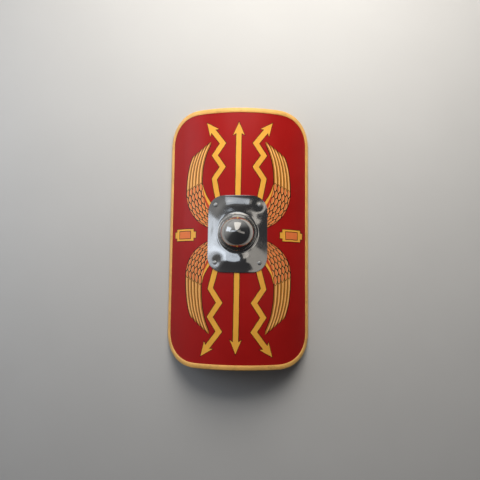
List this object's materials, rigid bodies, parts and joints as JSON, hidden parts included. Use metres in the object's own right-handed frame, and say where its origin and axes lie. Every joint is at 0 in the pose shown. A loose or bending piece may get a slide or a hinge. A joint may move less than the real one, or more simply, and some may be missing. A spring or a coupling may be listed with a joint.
{
  "type": "roman scutum shield",
  "caption": "Tall curved plywood shield with rounded corners, folded metal rim, riveted steel boss over the hand hole and a wooden grip behind.",
  "frame": {"origin": "on the surface the shield lies on, below the middle of the board", "axes": "+X across the shield to the right as its front is seen with its top away, +Y along its height towards its top, +Z out of its front, upwards as it lies"},
  "size_m": [0.5834, 1.05, 0.2042],
  "materials": {
    "painted_board": "plywood, gloss red paint in front with yellow, orange and dark line work, clear varnish behind",
    "painted_rim": "sheet metal channel, golden yellow paint, semi-gloss",
    "polished_steel": "polished, with fine hand-finishing marks",
    "plain_steel": "plain, dull",
    "grip_wood": "oiled ash, worn smooth at the handhold"
  },
  "bodies": {
    "root": {"board": "painted_board", "rim": "painted_rim", "boss": "polished_steel", "rivet_upper_left": "polished_steel", "rivet_upper_right": "polished_steel", "rivet_lower_left": "polished_steel", "rivet_lower_right": "polished_steel", "washer_upper_left": "plain_steel", "washer_upper_right": "plain_steel", "washer_lower_left": "plain_steel", "washer_lower_right": "plain_steel", "grip": "grip_wood", "grip_screw_1": "plain_steel", "grip_screw_2": "plain_steel", "grip_screw_3": "plain_steel", "grip_screw_4": "plain_steel"}
  },
  "joints": []
}
